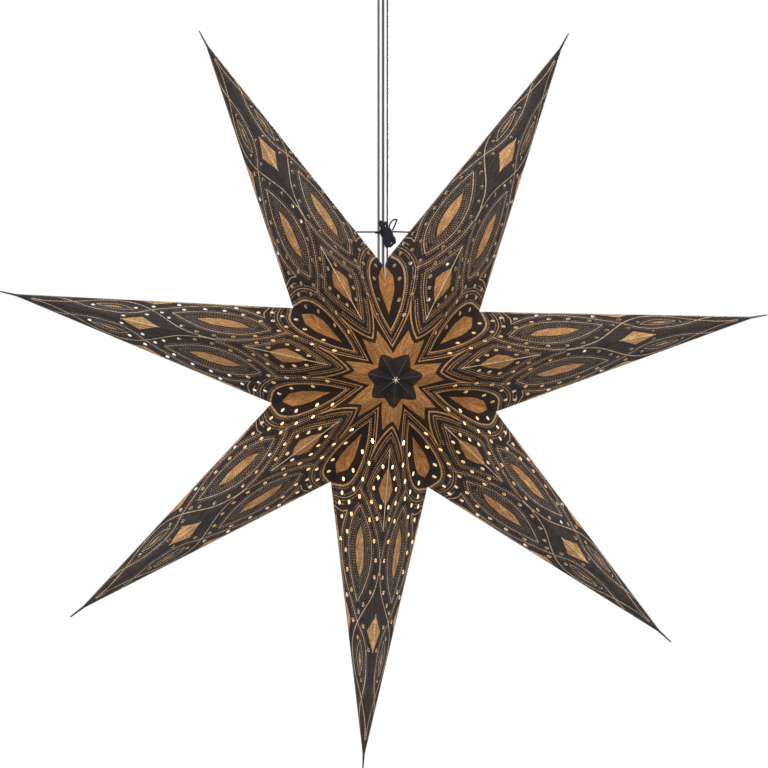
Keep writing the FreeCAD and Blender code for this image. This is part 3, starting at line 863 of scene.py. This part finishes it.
def add_flap(parts, corners, side, half):
    """The glue flap that turns inwards from one valley and lies against its neighbour's."""
    apex = corners[half, "", "apex"]
    notch = corners["", side, "notch"]
    line = (notch - apex) / np.linalg.norm(notch - apex)
    inward = np.array([0.0, -math.copysign(1.0, apex[1]), 0.0])
    inward -= line * np.dot(inward, line)
    inward /= np.linalg.norm(inward)
    first = apex + line * FLAP_START + inward * GLUE_FLAP
    back_off = (abs(inward[1]) * GLUE_FLAP + MITRE_GAP) / abs(line[1])
    last = notch - line * back_off + inward * GLUE_FLAP
    ridge = corners[half, "", "ridge"]
    across = np.cross(line, inward)
    if np.dot(across, ridge - apex) < 0.0:
        across = -across
    outer = [apex, notch, last, first]
    add_plate(parts, outer, [p + across * CARD for p in outer], INNER_KIND)


def make_arm(index, flat, weights, plain, plain_weights, hole_weights, materials):
    """One arm: its printed outer face, its plain inner face, the walls of its holes and its flaps."""
    corners, inner = arm_corners(index)
    parts = MeshParts()
    for half in ("front", "back"):
        for side in ("left", "right"):
            outer_corners = np.array([corners[corner_key(half, side, n)] for n in FACE_OUTLINE])
            inner_corners = np.array([inner[corner_key(half, side, n)] for n in FACE_OUTLINE])
            flip = (half == "front") != (side == "right")
            places = np.column_stack([flat[0], np.full(len(flat[0]), ARM_SHIFT * index)])
            parts.add(weights @ outer_corners, flat[1], flat[2], flip, places)
            kinds = [INNER_KIND] * len(plain[1])
            parts.add(plain_weights @ inner_corners, plain[1], kinds, not flip)
            for hole in hole_weights:
                rim = [*(hole @ outer_corners), *(hole @ inner_corners)]
                n = len(hole)
                walls = [[k, n + k, n + (k + 1) % n, (k + 1) % n] for k in range(n)]
                parts.add(rim, walls, [EDGE_KIND] * n, flip)
            add_flap(parts, corners, side, half)
            for a, b in (("bend_0", "bend_1"), ("bend_1", "notch")):
                keys = corner_key(half, side, a), corner_key(half, side, b)
                rim = [corners[keys[0]], corners[keys[1]], inner[keys[1]], inner[keys[0]]]
                parts.add(rim, [[0, 1, 2, 3]], [INNER_KIND])
    cap = [("", "left", "tip"), ("front", "", "ridge_tip"), ("", "right", "tip"),
           ("back", "", "ridge_tip")]
    parts.add([corners[key] for key in cap], [[0, 1, 2, 3]], [CARD_KIND])
    name = "printed_arm_%d" % (index + 1)
    arm = mesh_object(name, parts.verts, parts.faces, materials, parts.kinds, flat=parts.flat)
    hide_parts("arm_%d" % (index + 1))


def make_star():
    """All of the arms, from one flat half face that is cut once."""
    holes = hole_shapes()
    flat = cut_flat(print_layout() + [(HOLE_KIND, hole) for hole in holes])
    plain = cut_flat([(HOLE_KIND, hole) for hole in holes])
    hole_weights = [face_weights(hole) for hole in holes]
    materials = [paper_material(*paper) for paper in PAPERS]
    weights = face_weights(flat[0])
    plain_weights = face_weights(plain[0])
    for index in range(len(ARM_SPREADS)):
        make_arm(index, flat, weights, plain, plain_weights, hole_weights, materials)


def string_holes():
    """Where the string passes through the folds of the two arms beside the seam."""
    places = []
    for index, side in ((len(ARM_SPREADS) - 1, "right"), (0, "left")):
        corners, _ = arm_corners(index)
        notch, fold = corners["", side, "notch"], corners["", side, "fold"]
        share = (STRING_HEIGHT - STAR_DROP - notch[2]) / (fold[2] - notch[2])
        places.append(notch + (fold - notch) * share)
    return places


def round_tube(verts, faces, points, radius, steps=6):
    """Adds a round tube that passes smoothly through the points."""
    line = [Vector(p) for p in smooth_run(points, steps)]
    more_verts, more_faces = sweep(line, ring_profile(radius, STRING_SIDES), Vector(TUBE_SIDE))
    start = len(verts)
    verts.extend(more_verts)
    faces.extend([tuple(start + k for k in face) for face in more_faces])


def make_string():
    """The black string that ties the seam, wound round the flex and tied in a small bow."""
    left, right = string_holes()
    verts, faces = [], []
    middle = np.array([FLEX_OFFSET, 0.0, STRING_HEIGHT - STAR_DROP])
    inset = np.array([STRING_END_INSET, 0.0, 0.0])
    span = [left - inset, left, *(middle + p for p in STRING_WINDING), right, right + inset]
    round_tube(verts, faces, span, STRING_RADIUS, 8)
    for end in (left - inset, right + inset):
        knot = [end + p for p in END_KNOT]
        round_tube(verts, faces, knot, END_KNOT_RADIUS)
    for points, radius in BOW:
        round_tube(verts, faces, [middle + np.array(p) * MM for p in points], radius * MM)
    string = mesh_object("tied_string", verts, faces, [string_material()], smooth=True)
    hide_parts("tie_string")


def dress_nodes():
    """Materials for the solids that are shown as the frame has them."""
    white = plastic_material("white_plastic", *CEILING_WHITES, 0.35)
    holder = plastic_material("holder_plastic", *HOLDER_WHITES, 0.3)
    looks = {"ceiling_plate": white, "ceiling_cup": white, "cord_grip": white,
             "lamp_holder": holder, "lamp_bulb": bulb_material()}
    for name, material in looks.items():
        node = bpy.data.objects[name]
        node.data.materials.clear()
        node.data.materials.append(material)


def area_light(name, place, power):
    """A square light that looks at the middle of the star."""
    data = bpy.data.lights.new(name, "AREA")
    data.shape = "SQUARE"
    data.size = LIGHT_SIZE
    data.energy = power
    light = bpy.data.objects.new(name, data)
    light.location = place
    aim = Vector((0.0, 0.0, -STAR_DROP)) - Vector(place)
    light.rotation_mode = "QUATERNION"
    light.rotation_quaternion = aim.to_track_quat("-Z", "Y")
    bpy.context.collection.objects.link(light)


def light_studio():
    """The studio's lights, a grey world that lights the star, and white behind it."""
    for light in LIGHTS:
        area_light(*light)
    world = bpy.data.worlds.new("studio")
    bpy.context.scene.world = world
    world.use_nodes = True
    nodes, links = world.node_tree.nodes, world.node_tree.links
    nodes.clear()
    path = nodes.new("ShaderNodeLightPath")
    room = nodes.new("ShaderNodeBackground")
    room.inputs["Color"].default_value = ROOM_GREY
    backdrop = nodes.new("ShaderNodeBackground")
    backdrop.inputs["Color"].default_value = BACKDROP_WHITE
    mix = nodes.new("ShaderNodeMixShader")
    output = nodes.new("ShaderNodeOutputWorld")
    links.new(path.outputs["Is Camera Ray"], mix.inputs[0])
    links.new(room.outputs[0], mix.inputs[1])
    links.new(backdrop.outputs[0], mix.inputs[2])
    links.new(mix.outputs[0], output.inputs["Surface"])


def set_render():
    scene = bpy.context.scene
    scene.render.engine = "CYCLES"
    scene.cycles.samples = SAMPLES
    scene.cycles.use_denoising = True
    scene.view_settings.view_transform = "Standard"


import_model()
place_camera()
make_flex()
make_star()
make_string()
dress_nodes()
light_studio()
set_render()
